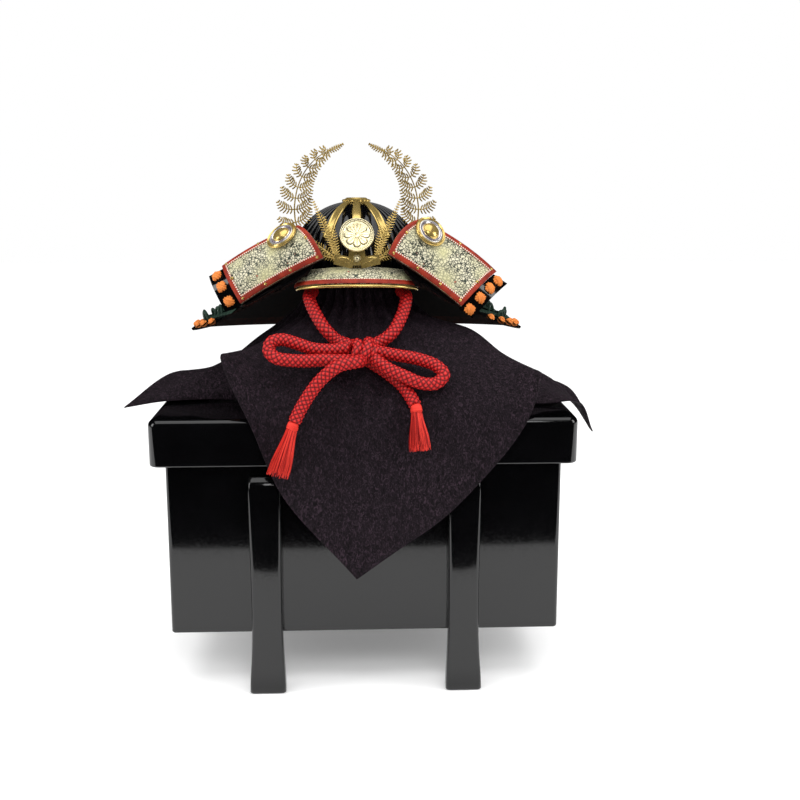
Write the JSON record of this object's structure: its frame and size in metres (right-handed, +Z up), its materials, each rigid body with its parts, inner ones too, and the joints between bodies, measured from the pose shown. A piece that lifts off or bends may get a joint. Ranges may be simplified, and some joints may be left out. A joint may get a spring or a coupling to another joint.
{
  "type": "kabuto helmet on a display chest",
  "caption": "Japanese armour helmet with fern crest, tied with a cord over a cloth-covered stand on its footed lacquered storage chest.",
  "frame": {"origin": "on the floor under the middle of the chest", "axes": "+Z up, the helmet and its crest face -Y, +X to the right as seen from the front"},
  "size_m": [0.4161, 0.2809, 0.465],
  "materials": {
    "lacquer": "black lacquer, high gloss",
    "gilt": "antique gilt metal",
    "pale_gilt": "pale gilt metal",
    "printed_leather": "cream printed leather, fine dark green and black pattern",
    "red_leather": "matt brick-red leather",
    "red_braid": "round braided silk-like cord",
    "dark_cloth": "dark purple-black crepe",
    "plain_wood": "plain unfinished wood"
  },
  "bodies": {
    "root": {"chest_body": "lacquer", "chest_lid": "lacquer", "chest_leg_front_left": "lacquer", "chest_leg_front_right": "lacquer", "chest_leg_back_left": "lacquer", "chest_leg_back_right": "lacquer", "bowl": "lacquer", "bowl_hoop": "lacquer", "front_band_center": "gilt", "front_band_left": "gilt", "front_band_right": "gilt", "crown_ring": "gilt", "visor": "printed_leather", "visor_border": "red_leather", "visor_rim": "gilt", "wing_left": "printed_leather", "wing_border_left": "red_leather", "wing_boss_left": "gilt", "lame_end_left": "lacquer", "wing_right": "printed_leather", "wing_border_right": "red_leather", "wing_boss_right": "gilt", "lame_end_right": "lacquer", "neck_lame_1": "lacquer", "neck_lame_2": "lacquer", "neck_lame_3": "lacquer", "neck_lame_4": "lacquer", "neck_lame_5": "lacquer", "crest_base": "gilt", "crest_boss": "gilt", "crest_disc": "pale_gilt", "fern_frond_left": "gilt", "fern_spray_left": "gilt", "fern_frond_right": "gilt", "fern_spray_right": "gilt", "stand_post": "plain_wood", "stand_cloth": "dark_cloth", "bow_knot": "red_braid", "chin_cord": "red_braid", "bow_loop_left": "red_braid", "bow_loop_right": "red_braid", "cord_end_left": "red_braid", "cord_end_right": "red_braid", "tassel_left": "red_braid", "tassel_right": "red_braid"}
  },
  "joints": []
}
